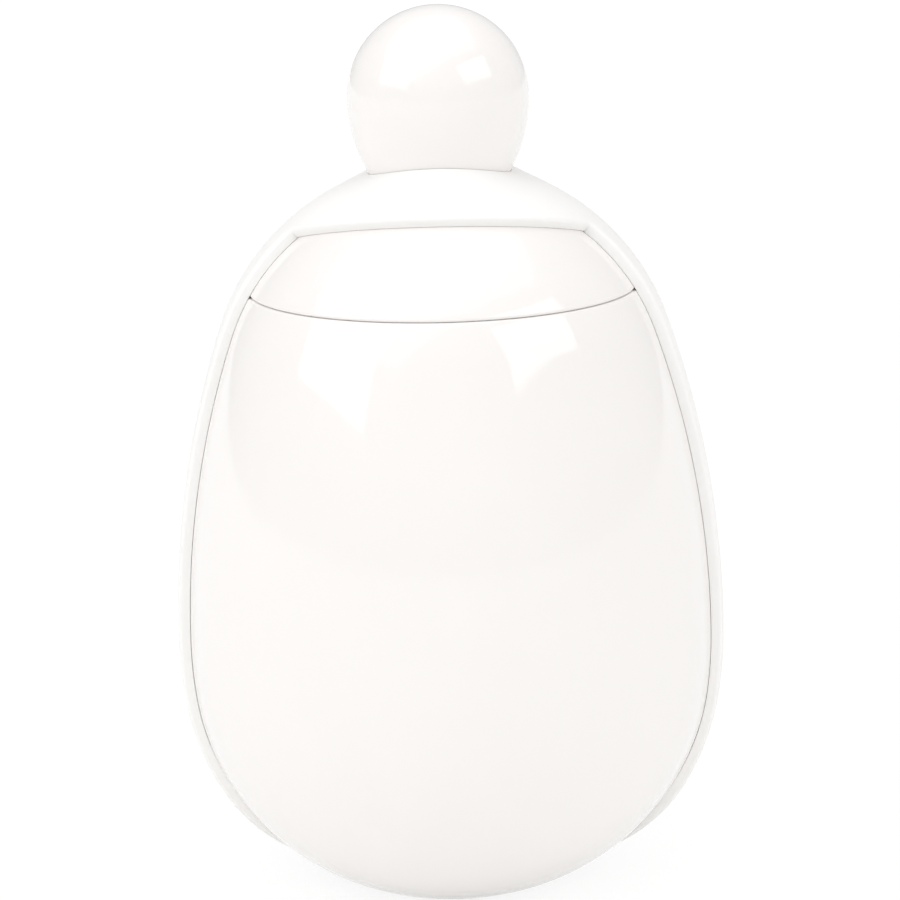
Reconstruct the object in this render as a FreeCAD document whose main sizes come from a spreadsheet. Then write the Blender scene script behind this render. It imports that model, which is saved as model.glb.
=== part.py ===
import FreeCAD, Part
import math
import os

import Sketcher

# Porcelain egg coddler: an egg-shaped cup, a lid with a ball knob, and a silicone strap that holds them shut.
# Frame: millimetres, +Z up, origin at the foot's centre, the strap's arms at left and right, front at -Y.
# Every surface follows one outline: a bowl arc from the foot, two side arcs that meet at the belly, and a
# crown arc on the axis. What fits round or into another piece takes its size from the same rows of the sheet.

# Sizes of the porcelain outline
OUTLINE = {
    "foot_radius": (12.5, "radius of the flat foot"),
    "belly_radius": (33.0, "widest radius of the porcelain"),
    "belly_height": (31.9, "height of the widest place"),
    "lower_side_radius": (54.0, "arc from the bowl up to the belly"),
    "lower_side_sweep": (8.0, "degrees that this arc covers"),
    "upper_side_radius": (120.0, "arc from the belly up to the shoulder"),
    "shoulder_height": (70.9, "height where the side arc gives way to the crown arc"),
}
# Sizes of the cup
CUP = {
    "cup_wall": (3.5, "thickness of the cup's wall"),
    "floor_wall": (3.5, "porcelain between the inside floor and the strap's channel"),
    "floor_blend": (7.0, "rounding between floor and wall inside"),
    "rim_rise": (4.7, "top of the cup's rim above the shoulder"),
    "rim_round": (0.3, "rounding of the rim's edges"),
    "foot_round": (0.6, "rounding of the foot's edge"),
}
# Sizes of the lid and its knob
LID = {
    "seat_gap": (0.15, "gap between lid and rim"),
    "lid_wall": (3.2, "thickness of the lid's dome"),
    "lid_edge_round": (0.3, "rounding of the lid's outer edge"),
    "flange_clearance": (0.4, "play between the lid's flange and the cup's mouth"),
    "flange_wall": (2.6, "thickness of the flange"),
    "flange_depth": (5.0, "how far the flange reaches into the cup"),
    "flange_round": (0.8, "rounding of the flange's edges"),
    "neck_radius": (8.8, "radius of the knob's neck"),
    "neck_clearance": (0.3, "straight part of the neck above the strap's collar"),
    "knob_radius": (11.2, "radius of the ball knob"),
    "knob_taper_radius": (19.0, "arc from the ball in to the neck"),
}
# Sizes of the silicone strap
STRAP = {
    "strap_thickness": (1.25, "thickness of the strap"),
    "strap_gap": (0.15, "gap between strap and porcelain"),
    "strap_width": (11.0, "width of the two arms"),
    "strap_lift": (2.4, "strap's underside above the foot's plane"),
    "bend_radius": (20.0, "outer face of the bend where each arm turns in under the foot"),
    "channel_gap": (0.2, "gap above the strap in the foot's channel"),
    "channel_side_gap": (0.3, "gap at each side of the strap in the foot's channel"),
    "neck_gap": (0.15, "gap between the collar's hole and the neck"),
    "collar_reach": (15.65, "front edge of the collar from the axis"),
    "collar_corner": (18.4, "corner between collar and arm, from the axis along X"),
    "corner_round": (1.2, "rounding in that corner"),
}
# Sizes that follow from the ones above, as the sheet's own formulas
FOLLOWING = {
    "shoulder_rise": ("shoulder_height - belly_height", "shoulder above the belly"),
    "crown_radius": (
        "upper_side_radius - (upper_side_radius - belly_radius)"
        " / sqrt(1 - (shoulder_rise / upper_side_radius)^2)",
        "arc of the crown, which touches the side arc at the shoulder",
    ),
    "crown_centre": (
        "belly_height + (upper_side_radius - crown_radius) * shoulder_rise / upper_side_radius",
        "height of that arc's centre, on the axis",
    ),
    "sweep_cosine": ("cos(lower_side_sweep * 1 deg)", "cosine of the lower side's sweep"),
    "sweep_sine": ("sin(lower_side_sweep * 1 deg)", "sine of the lower side's sweep"),
    "bowl_top_out": (
        "belly_radius - lower_side_radius * (1 - sweep_cosine) - foot_radius",
        "end of the lower side arc, out from the foot's edge",
    ),
    "bowl_top": (
        "belly_height - lower_side_radius * sweep_sine",
        "height of that end",
    ),
    "bowl_radius": (
        "(bowl_top_out^2 + bowl_top^2) / (2 * (bowl_top_out * sweep_cosine - bowl_top * sweep_sine))",
        "arc of the bowl, from the foot's edge to the lower side arc",
    ),
    "bowl_out": (
        "belly_radius - lower_side_radius + (lower_side_radius - bowl_radius) * sweep_cosine",
        "centre of the bowl's arc, out from the axis",
    ),
    "bowl_height": (
        "belly_height - (lower_side_radius - bowl_radius) * sweep_sine",
        "height of that centre",
    ),
    "rim_height": ("shoulder_height + rim_rise", "top of the cup's rim"),
    "mouth_radius": (
        "sqrt((crown_radius - cup_wall)^2 - (rim_height - crown_centre)^2)",
        "radius of the cup's mouth at the rim",
    ),
    "strap_outside": ("strap_gap + strap_thickness", "strap's outer face off the porcelain"),
    "bend_height": ("strap_lift + bend_radius", "height of the centre of the strap's lower bend"),
    "bend_reach": ("bowl_radius + strap_outside - bend_radius", "that centre's distance from the bowl's"),
    "bend_out": (
        "bowl_out + sqrt(bend_reach^2 - (bowl_height - bend_height)^2)",
        "that centre, out from the axis",
    ),
    "channel_bend": ("bend_radius - strap_thickness - channel_gap", "bend of the channel's roof"),
    "channel_roof": ("bend_height - channel_bend", "height of the channel's roof"),
    "channel_edge": (
        "bend_height - channel_bend * (bowl_height - bend_height) / bend_reach",
        "height where the channel's bend ends",
    ),
    "floor_height": ("channel_roof + floor_wall", "inside floor above the foot's plane"),
    "collar_hole": ("neck_radius + neck_gap", "radius of the collar's hole"),
    "neck_top": (
        "crown_centre + sqrt((crown_radius + strap_outside)^2 - collar_hole^2) + neck_clearance",
        "top of the straight neck",
    ),
    "knob_height": (
        "neck_top + sqrt(knob_taper_radius^2 - (neck_radius - knob_radius + knob_taper_radius)^2)",
        "height of the ball's centre",
    ),
}

NEAR = 0.02  # how close an edge must lie to the place where it is looked for
FULL_TURN = 360.0
START, END, CENTRE = range(1, 4)  # a sketch's numbers for the points of a curve

doc = FreeCAD.newDocument("egg_coddler")
sheet = doc.addObject("Spreadsheet::Sheet", "Sizes")


def fill_sheet():
    """Write every size into the sheet, with its alias and a note, then the sizes that follow from them."""
    entries = [(n, str(v), note) for group in (OUTLINE, CUP, LID, STRAP) for n, (v, note) in group.items()]
    entries += [(name, "=" + formula, note) for name, (formula, note) in FOLLOWING.items()]
    for row, (name, text, note) in enumerate(entries, 1):
        sheet.set(f"A{row}", name)
        sheet.set(f"B{row}", text)
        sheet.set(f"C{row}", note)
        sheet.setAlias(f"B{row}", name)
        doc.recompute()


def size(name):
    """A size, read back from the sheet."""
    return float(sheet.get(name))


def flat(x, y):
    """A point in a sketch."""
    return FreeCAD.Vector(x, y, 0)


def outline_centres():
    """Centres of the bowl, lower side, upper side and crown arcs, as (radius, height) from the axis."""
    belly, level = size("belly_radius"), size("belly_height")
    lower = (belly - size("lower_side_radius"), level)
    upper = (belly - size("upper_side_radius"), level)
    return (size("bowl_out"), size("bowl_height")), lower, upper, (0.0, size("crown_centre"))


def arc(centre, radius, start, end):
    """An arc of a circle between two angles, in radians."""
    circle = Part.Circle(flat(*centre), FreeCAD.Vector(0, 0, 1), radius)
    return Part.ArcOfCircle(circle, start, end)


class Profile:
    """A sketch on one of its body's origin planes, with short forms of the constraints used here."""

    LEVEL_AXIS, UPRIGHT_AXIS = range(-1, -3, -1)  # a sketch's numbers for its own axes
    ORIGIN = (LEVEL_AXIS, START)

    def __init__(self, body, name, plane):
        self.sketch = body.newObject("Sketcher::SketchObject", name)
        origin_plane = [f for f in body.Origin.OriginFeatures if f.Role == plane][0]
        self.sketch.AttachmentSupport = [(origin_plane, "")]
        self.sketch.MapMode = "FlatFace"

    def add(self, geometry):
        return self.sketch.addGeometry(geometry, False)

    def line(self, start, end):
        return self.add(Part.LineSegment(flat(*start), flat(*end)))

    def rule(self, kind, *where):
        return self.sketch.addConstraint(Sketcher.Constraint(kind, *where))

    def driven(self, kind, where, value, expression):
        """A dimension whose value follows the sheet."""
        index = self.rule(kind, *where, value)
        self.sketch.setExpression(f"Constraints[{index}]", expression)

    def radius(self, curve, expression):
        self.driven("Radius", (curve,), self.sketch.Geometry[curve].Radius, expression)

    def height(self, curve, point, expression):
        value = self.sketch.getPoint(curve, point).y
        self.driven("DistanceY", (*self.ORIGIN, curve, point), value, expression)

    def across(self, curve, point, expression):
        value = self.sketch.getPoint(curve, point).x
        self.driven("DistanceX", (*self.ORIGIN, curve, point), value, expression)

    def join(self, *ends):
        """Join (curve, point) pairs two by two: the first with the second, the third with the fourth."""
        for one, other in zip(ends[::2], ends[1::2]):
            self.rule("Coincident", *one, *other)


def egg_arcs(profile, offset, expression, start, top_angle):
    """The outline's four arcs, moved out by offset, from an angle on the bowl up to one on the crown."""
    bowl, lower, upper, crown = outline_centres()
    names = ("bowl_radius", "lower_side_radius", "upper_side_radius", "crown_radius")
    radii = [size(name) + offset for name in names]
    sweep = math.radians(size("lower_side_sweep"))
    shoulder = math.atan2(crown[1] - upper[1], -upper[0])
    turns = [(start, -sweep), (-sweep, 0.0), (0.0, shoulder), (shoulder, top_angle)]
    centres = (bowl, lower, upper, crown)
    arcs = [profile.add(arc(c, r, *turn)) for c, r, turn in zip(centres, radii, turns)]
    for below, above in zip(arcs, arcs[1:]):
        profile.rule("Tangent", below, END, above, START)
    for curve, name in zip(arcs, names):
        profile.radius(curve, f"Sizes.{name} + ({expression})")
    profile.height(arcs[1], CENTRE, "Sizes.belly_height")
    profile.height(arcs[2], CENTRE, "Sizes.belly_height")
    profile.across(arcs[1], END, f"Sizes.belly_radius + ({expression})")
    profile.driven("Angle", (arcs[1],), sweep, "Sizes.lower_side_sweep * 1 deg")
    profile.rule("PointOnObject", arcs[3], CENTRE, Profile.UPRIGHT_AXIS)
    return arcs


def bowl_angle(offset, height):
    """Angle on the bowl arc, moved out by offset, at a height."""
    return math.asin((height - size("bowl_height")) / (size("bowl_radius") + offset))


def crown_angle(offset, across=None, height=None):
    """Angle on the crown arc, moved out by offset, at a distance from the axis or at a height."""
    radius = size("crown_radius") + offset
    if height is None:
        return math.acos(across / radius)
    return math.asin((height - size("crown_centre")) / radius)


def revolve(body, profile, kind="PartDesign::Revolution"):
    """Turn a profile round the upright axis, as a solid or, with a groove, as a hollow."""
    solid = body.newObject(kind, profile.sketch.Name + "_turned")
    solid.Profile = profile.sketch
    solid.ReferenceAxis = (profile.sketch, ["V_Axis"])
    solid.Angle = FULL_TURN
    doc.recompute()
    return solid


def new_body(name):
    body = doc.addObject("PartDesign::Body", name)
    body.Label = name
    body.Placement = FreeCAD.Placement()
    return body


def circle_edges(shape, radius, height):
    """Names of the round edges about the axis that have a radius and lie at a height."""
    found = []
    middle = FreeCAD.Vector(0, 0, height)
    for number, edge in enumerate(shape.Edges, 1):
        if edge.Degenerated or not isinstance(edge.Curve, Part.Circle):
            continue
        ring = edge.Curve
        if ring.Center.distanceToPoint(middle) < NEAR and abs(ring.Radius - radius) < NEAR:
            found.append(f"Edge{number}")
    return found


def round_edges(body, name, base, edges, alias):
    """Round the named edges of the body's last feature by a size from the sheet."""
    fillet = body.newObject("PartDesign::Fillet", name)
    fillet.Base = (base, edges)
    fillet.Radius = size(alias)
    fillet.setExpression("Radius", f"Sizes.{alias}")
    body.Tip = fillet
    doc.recompute()
    return fillet


def bottom_line(profile, side, height, bend):
    """A level line from the axis out to the lowest arc of a side, by way of the strap's lower bend where
    bend gives its (radius, expression)."""
    start = profile.sketch.getPoint(side, START)
    if bend is None:
        level = profile.line((0, height), (start.x, height))
        profile.join((level, END), (side, START))
    else:
        centre = flat(size("bend_out"), size("bend_height"))
        turned_to = math.atan2(start.y - centre.y, start.x - centre.x)
        corner = profile.add(arc((centre.x, centre.y), bend[0], -math.pi / 2, turned_to))
        level = profile.line((0, height), (centre.x, height))
        profile.rule("Tangent", corner, END, side, START)
        profile.rule("Tangent", level, END, corner, START)
        profile.radius(corner, bend[1])
    profile.rule("Horizontal", level)
    profile.rule("PointOnObject", level, START, Profile.UPRIGHT_AXIS)
    return level


def shell_profile(body, name, offsets, lows, high, bends=(None, None)):
    """Closed half section between two moved outlines, the outer one first in each pair. offsets are
    (offset, expression); lows are (height, expression, angle on the bowl); bends are (radius, expression);
    high is (outer angle, inner angle, function that ends the top)."""
    profile = Profile(body, name, "XZ_Plane")
    *top_angles, finish = high
    sides, levels = [], []
    for offset, low, top_angle, bend in zip(offsets, lows, top_angles, bends):
        height, expression, start = low
        side = egg_arcs(profile, *offset, start, top_angle)
        level = bottom_line(profile, side[0], height, bend)
        if expression is None:
            profile.rule("PointOnObject", level, END, Profile.LEVEL_AXIS)
        else:
            profile.height(level, START, expression)
        sides.append(side)
        levels.append(level)
    closing = profile.line((0, lows[1][0]), (0, lows[0][0]))
    profile.join((levels[1], START), (closing, START), (closing, END), (levels[0], START))
    top_from, top_to = (profile.sketch.getPoint(side[3], END) for side in sides)
    top = profile.line((top_from.x, top_from.y), (top_to.x, top_to.y))
    profile.join((sides[0][3], END), (top, START), (top, END), (sides[1][3], END))
    finish(profile, top)
    return profile


def channel_tool():
    """Body that is cut out of the cup: a bar a little wider than the strap, hollowed out above the channel's
    roof, which bends up with the strap and leaves the cup's side in a straight line."""
    body = new_body("strap_channel_tool")
    bar = Profile(body, "channel_bar", "YZ_Plane")
    half, height = size("strap_width") / 2 + size("channel_side_gap"), size("bend_height")
    bottom = bar.line((-half, 0), (half, 0))
    right = bar.line((half, 0), (half, height))
    top = bar.line((half, height), (-half, height))
    left = bar.line((-half, height), (-half, 0))
    bar.join((bottom, END), (right, START), (right, END), (top, START))
    bar.join((top, END), (left, START), (left, END), (bottom, START))
    bar.rule("Vertical", right)
    bar.rule("Vertical", left)
    bar.rule("Horizontal", top)
    bar.rule("PointOnObject", bottom, END, Profile.LEVEL_AXIS)
    bar.rule("Symmetric", bottom, START, bottom, END, *Profile.ORIGIN)
    bar.across(bottom, END, "Sizes.strap_width / 2 + Sizes.channel_side_gap")
    bar.height(top, START, "Sizes.bend_height")
    pad = body.newObject("PartDesign::Pad", "channel_bar_padded")
    pad.Profile = bar.sketch
    pad.Midplane = True
    pad.Length = 4 * size("belly_radius")
    pad.setExpression("Length", "4 * Sizes.belly_radius")
    doc.recompute()

    hollow = Profile(body, "channel_hollow", "XZ_Plane")
    centre, radius, roof = (size("bend_out"), size("bend_height")), size("channel_bend"), size("channel_roof")
    turned_to = math.asin((size("channel_edge") - centre[1]) / radius)
    edge = (centre[0] + radius * math.cos(turned_to), size("channel_edge"))
    above = size("belly_height")
    far = edge[0] - (above - edge[1]) * math.tan(turned_to)
    ceiling = hollow.line((0, roof), (centre[0], roof))
    bend = hollow.add(arc(centre, radius, -math.pi / 2, turned_to))
    run_out = hollow.line(edge, (far, above))
    upper = hollow.line((far, above), (0, above))
    middle = hollow.line((0, above), (0, roof))
    hollow.join((run_out, END), (upper, START), (upper, END), (middle, START))
    hollow.join((middle, END), (ceiling, START))
    hollow.rule("Tangent", ceiling, END, bend, START)
    hollow.rule("Tangent", bend, END, run_out, START)
    hollow.rule("Horizontal", ceiling)
    hollow.rule("Horizontal", upper)
    for point in (START, END):
        hollow.rule("PointOnObject", middle, point, Profile.UPRIGHT_AXIS)
    hollow.radius(bend, "Sizes.channel_bend")
    hollow.across(bend, CENTRE, "Sizes.bend_out")
    hollow.height(bend, CENTRE, "Sizes.bend_height")
    hollow.height(bend, END, "Sizes.channel_edge")
    hollow.height(upper, END, "Sizes.belly_height")
    revolve(body, hollow, "PartDesign::Groove")
    return body


def cup():
    """Slip-cast cup: a round shell with a flat foot, and a channel across it in which the strap lies."""
    body = new_body("cup")
    wall, rim, floor = size("cup_wall"), size("rim_height"), size("floor_height")

    def flat_rim(profile, top):
        profile.rule("Horizontal", top)
        profile.height(top, START, "Sizes.rim_height")

    profile = shell_profile(
        body,
        "cup_section",
        ((0.0, "0"), (-wall, "-Sizes.cup_wall")),
        ((0.0, None, bowl_angle(0.0, 0.0)), (floor, "Sizes.floor_height", bowl_angle(-wall, floor))),
        (crown_angle(0.0, height=rim), crown_angle(-wall, height=rim), flat_rim),
    )
    turned = revolve(body, profile)
    bowl, crown = outline_centres()[0], outline_centres()[3]
    floor_radius = bowl[0] + math.sqrt((size("bowl_radius") - wall) ** 2 - (bowl[1] - floor) ** 2)
    floor_edge = circle_edges(turned.Shape, floor_radius, floor)
    blended = round_edges(body, "floor_rounding", turned, floor_edge, "floor_blend")
    rim_radius = math.sqrt(size("crown_radius") ** 2 - (rim - crown[1]) ** 2)
    rim_edges = circle_edges(blended.Shape, rim_radius, rim)
    rim_edges += circle_edges(blended.Shape, size("mouth_radius"), rim)
    rimmed = round_edges(body, "rim_rounding", blended, rim_edges, "rim_round")
    foot_edge = circle_edges(rimmed.Shape, size("foot_radius"), 0.0)
    round_edges(body, "foot_rounding", rimmed, foot_edge, "foot_round")

    channel = body.newObject("PartDesign::Boolean", "strap_channel")
    channel.setObjects([channel_tool()])
    channel.Type = "Cut"
    body.Tip = channel
    doc.recompute()
    return body


def lid():
    """Lid and ball knob, one casting: a dome on the cup's line, with a flange that drops into the mouth."""
    body = new_body("lid")
    profile = Profile(body, "lid_section", "XZ_Plane")
    crown = outline_centres()[3]
    seat = size("rim_height") + size("seat_gap")
    dome, neck, ball = size("crown_radius"), size("neck_radius"), size("knob_radius")
    taper, ball_height = size("knob_taper_radius"), size("knob_height")
    under = dome - size("lid_wall")
    flange_out = size("mouth_radius") - size("flange_clearance")
    flange_in = flange_out - size("flange_wall")
    flange_low = size("rim_height") - size("flange_depth")

    dome_start, dome_end = crown_angle(0.0, height=seat), crown_angle(0.0, across=neck)
    top = profile.add(arc(crown, dome, dome_start, dome_end))
    neck_low = crown[1] + dome * math.sin(dome_end)
    taper_start = -math.acos((neck - (ball - taper)) / taper)
    stem = profile.line((neck, neck_low), (neck, size("neck_top")))
    cone = profile.add(arc((ball - taper, ball_height), taper, taper_start, 0.0))
    sphere = profile.add(arc((0, ball_height), ball, 0.0, math.pi / 2))
    middle = profile.line((0, ball_height + ball), (0, crown[1] + under))
    inner_start = math.acos(flange_in / under)
    ceiling = profile.add(arc(crown, under, inner_start, math.pi / 2))
    inner = profile.line((flange_in, crown[1] + under * math.sin(inner_start)), (flange_in, flange_low))
    low = profile.line((flange_in, flange_low), (flange_out, flange_low))
    outer = profile.line((flange_out, flange_low), (flange_out, seat))
    rest = profile.line((flange_out, seat), (dome * math.cos(dome_start), seat))

    profile.join((top, END), (stem, START), (stem, END), (cone, START), (sphere, END), (middle, START))
    profile.join((middle, END), (ceiling, END), (ceiling, START), (inner, START), (inner, END), (low, START))
    profile.join((low, END), (outer, START), (outer, END), (rest, START), (rest, END), (top, START))
    profile.rule("Tangent", cone, END, sphere, START)
    for upright in (stem, inner, outer):
        profile.rule("Vertical", upright)
    for level in (low, rest):
        profile.rule("Horizontal", level)
    profile.rule("Coincident", top, CENTRE, ceiling, CENTRE)
    for curve, point in ((top, CENTRE), (sphere, CENTRE), (middle, START), (middle, END)):
        profile.rule("PointOnObject", curve, point, Profile.UPRIGHT_AXIS)
    profile.radius(top, "Sizes.crown_radius")
    profile.radius(ceiling, "Sizes.crown_radius - Sizes.lid_wall")
    profile.radius(sphere, "Sizes.knob_radius")
    profile.radius(cone, "Sizes.knob_taper_radius")
    profile.height(top, CENTRE, "Sizes.crown_centre")
    profile.height(sphere, CENTRE, "Sizes.knob_height")
    profile.height(cone, CENTRE, "Sizes.knob_height")
    profile.height(rest, START, "Sizes.rim_height + Sizes.seat_gap")
    profile.height(low, START, "Sizes.rim_height - Sizes.flange_depth")
    profile.across(stem, START, "Sizes.neck_radius")
    profile.across(outer, START, "Sizes.mouth_radius - Sizes.flange_clearance")
    profile.across(inner, START, "Sizes.mouth_radius - Sizes.flange_clearance - Sizes.flange_wall")
    turned = revolve(body, profile)

    rim_edge = circle_edges(turned.Shape, dome * math.cos(dome_start), seat)
    edged = round_edges(body, "edge_rounding", turned, rim_edge, "lid_edge_round")
    flange_edges = circle_edges(edged.Shape, flange_in, flange_low)
    flange_edges += circle_edges(edged.Shape, flange_out, flange_low)
    round_edges(body, "flange_rounding", edged, flange_edges, "flange_round")
    return body


def planform_pocket(body, name, upward, collar):
    """Cut away what lies in front of and behind the strap, above or below the belly."""
    profile = Profile(body, name, "XY_Plane")
    profile.sketch.AttachmentOffset = FreeCAD.Placement(
        FreeCAD.Vector(0, 0, size("belly_height")), FreeCAD.Rotation()
    )
    profile.sketch.setExpression(".AttachmentOffset.Base.z", "Sizes.belly_height")
    half, far = size("strap_width") / 2, 2 * size("belly_radius")
    corner, reach = size("collar_corner"), size("collar_reach")
    for side in (-1, 1):
        near, away = side * half, side * far
        points = [(far, near), (far, away), (-far, away), (-far, near)]
        if collar:
            points += [(-corner, near), (corner, near)]
        lines = [profile.line(a, b) for a, b in zip(points, points[1:])]
        if collar:
            profile.sketch.delGeometry(lines.pop())
            bow = Part.Arc(flat(-corner, near), flat(0, side * reach), flat(corner, near))
            lines.append(profile.add(bow))
        lines.append(profile.line(points[-1], points[0]))
        fix_planform(profile, lines, points, side, collar)
    pocket = body.newObject("PartDesign::Pocket", name + "_cut")
    pocket.Profile = profile.sketch
    pocket.Type = "ThroughAll"
    pocket.Reversed = upward
    body.Tip = pocket
    doc.recompute()
    return pocket


def fix_planform(profile, lines, points, side, collar):
    """Constrain one closed loop of the planform to the strap's sizes."""
    sketch = profile.sketch

    def point_at(curve, place):
        ends = (START, END)
        return min(ends, key=lambda e: sketch.getPoint(curve, e).distanceToPoint(flat(*place)))

    for number, place in enumerate(points):
        before, after = lines[number - 1], lines[number]
        profile.rule("Coincident", before, point_at(before, place), after, point_at(after, place))
    sign = "" if side > 0 else "-"
    for number in (0, 2):
        profile.rule("Vertical", lines[number])
        place = points[number]
        across = "" if place[0] > 0 else "-"
        profile.across(lines[number], point_at(lines[number], place), f"{across}2 * Sizes.belly_radius")
    profile.rule("Horizontal", lines[1])
    profile.height(lines[1], START, f"{sign}2 * Sizes.belly_radius")
    half = f"{sign}Sizes.strap_width / 2"
    if not collar:
        profile.rule("Horizontal", lines[3])
        profile.height(lines[3], START, half)
        return
    bow = lines[4]
    profile.rule("Horizontal", lines[3])
    profile.rule("Horizontal", lines[5])
    profile.height(lines[3], START, half)
    profile.height(lines[5], START, half)
    profile.across(lines[3], END, "-Sizes.collar_corner")
    profile.across(lines[5], START, "Sizes.collar_corner")
    sagitta = "(Sizes.collar_reach - Sizes.strap_width / 2)"
    profile.radius(bow, f"(Sizes.collar_corner^2 + {sagitta}^2) / (2 * {sagitta})")


def silicone_strap():
    """Strap: a collar round the knob's neck, two arms down the sides, and a flat band under the foot."""
    body = new_body("silicone_strap")
    gap, outside, thickness = size("strap_gap"), size("strap_outside"), size("strap_thickness")
    lift, hole, bend = size("strap_lift"), size("collar_hole"), size("bend_radius")
    start = -math.asin((size("bowl_height") - size("bend_height")) / size("bend_reach"))

    def hole_wall(profile, top):
        profile.rule("Vertical", top)
        profile.across(top, START, "Sizes.collar_hole")

    profile = shell_profile(
        body,
        "strap_section",
        ((outside, "Sizes.strap_outside"), (gap, "Sizes.strap_gap")),
        (
            (lift, "Sizes.strap_lift", start),
            (lift + thickness, "Sizes.strap_lift + Sizes.strap_thickness", start),
        ),
        (crown_angle(outside, across=hole), crown_angle(gap, across=hole), hole_wall),
        ((bend, "Sizes.bend_radius"), (bend - thickness, "Sizes.bend_radius - Sizes.strap_thickness")),
    )
    revolve(body, profile)
    planform_pocket(body, "upper_planform", True, True)
    lower = planform_pocket(body, "lower_planform", False, False)

    corners = []
    for number, edge in enumerate(lower.Shape.Edges, 1):
        ends = [v.Point for v in edge.Vertexes]
        upright = len(ends) == 2 and math.hypot(ends[0].x - ends[1].x, ends[0].y - ends[1].y) < NEAR
        if upright and abs(abs(ends[0].x) - size("collar_corner")) < NEAR:
            corners.append(f"Edge{number}")
    round_edges(body, "corner_rounding", lower, corners, "corner_round")
    return body


def check(bodies):
    """Stop if any object failed or any body's shape is not one valid solid."""
    for thing in doc.Objects:
        if {"Invalid", "Error"} & set(thing.State):
            raise RuntimeError(f"{thing.Name} failed: {thing.State}")
    for body in bodies:
        shape = body.Shape
        if shape.isNull() or not shape.isValid() or len(shape.Solids) != 1:
            raise RuntimeError(f"{body.Label} is not one valid solid")
        print(body.Label, "volume", round(shape.Volume), "mm3, box", shape.BoundBox)


fill_sheet()
parts = [cup(), lid(), silicone_strap()]
doc.recompute()
check(parts)
os.makedirs("parts", exist_ok=True)
for part in parts:
    part.Shape.exportStep(f"parts/{part.Label}.step")
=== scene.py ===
"""Porcelain egg coddler: a cup, a lid with a ball knob, and a silicone strap that holds them shut."""

import math

import bmesh
import bpy
from mathutils import Matrix, Vector


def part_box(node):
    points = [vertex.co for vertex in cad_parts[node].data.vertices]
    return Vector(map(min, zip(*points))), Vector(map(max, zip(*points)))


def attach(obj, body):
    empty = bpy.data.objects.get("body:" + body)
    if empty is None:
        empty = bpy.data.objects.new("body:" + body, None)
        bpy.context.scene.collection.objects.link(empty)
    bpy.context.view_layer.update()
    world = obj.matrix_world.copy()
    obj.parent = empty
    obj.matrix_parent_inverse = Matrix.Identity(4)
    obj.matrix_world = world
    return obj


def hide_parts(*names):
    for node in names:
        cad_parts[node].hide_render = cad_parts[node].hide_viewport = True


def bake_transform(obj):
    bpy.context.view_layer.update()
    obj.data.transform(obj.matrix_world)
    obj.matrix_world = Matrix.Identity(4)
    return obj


bl_info = {
    "name": "Porcelain egg coddler",
    "version": (1, 0, 0),
    "blender": (4, 5, 0),
    "location": "3D View > Sidebar > Coddler",
    "description": "Builds a lidded porcelain egg coddler with its silicone strap, and a pale stage for it",
    "category": "Object",
}

MM = 0.001

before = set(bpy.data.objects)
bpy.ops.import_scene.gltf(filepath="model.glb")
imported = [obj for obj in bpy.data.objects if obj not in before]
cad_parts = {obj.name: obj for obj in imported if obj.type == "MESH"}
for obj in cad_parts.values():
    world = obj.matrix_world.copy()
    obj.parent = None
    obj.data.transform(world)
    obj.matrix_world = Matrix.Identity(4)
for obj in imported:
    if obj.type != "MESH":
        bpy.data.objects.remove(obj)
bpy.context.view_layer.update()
CUP_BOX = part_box("cup")
LID_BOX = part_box("lid")
STRAP_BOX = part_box("silicone_strap")

# How finely the shapes are made.
PROFILE_TOLERANCE = 0.003 * MM
WELD_DISTANCE = 0.001 * MM
KEEN_ANGLE = math.radians(35)
BEVEL_SEGMENTS = 4

# The Mix node's sockets for colours: two go in, and one comes out.
COLOUR_A, COLOUR_B, COLOUR_OUT = 6, 7, 2

# Softboxes: name, place and size in metres, and the stage's setting for its level.
SOFTBOXES = (
    ("softbox_overhead", (-0.20, -0.15, 0.95), (1.30, 2.00), "overhead_level"),
    ("softbox_left", (-0.78, -0.44, 0.60), (0.80, 0.55), "left_level"),
    ("softbox_right", (0.74, -0.46, 0.64), (0.75, 0.44), "right_level"),
)


# ------------ settings


def length(default, label, text):
    """A length in metres, shown in the scene's own units."""
    return bpy.props.FloatProperty(
        name=label, description=text, default=default, min=0.0,
        unit="LENGTH", subtype="DISTANCE", precision=5,
    )


def turn(default, label, text):
    """An angle, given in degrees and shown as an angle."""
    return bpy.props.FloatProperty(
        name=label, description=text, default=math.radians(default), unit="ROTATION", subtype="ANGLE"
    )


def shade(default, label, text):
    """An sRGB colour, written as a hex value."""
    return bpy.props.StringProperty(name=label, description=text, default=default)


def amount(default, label, text):
    """A plain number of zero or more."""
    return bpy.props.FloatProperty(name=label, description=text, default=default, min=0.0)


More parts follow.
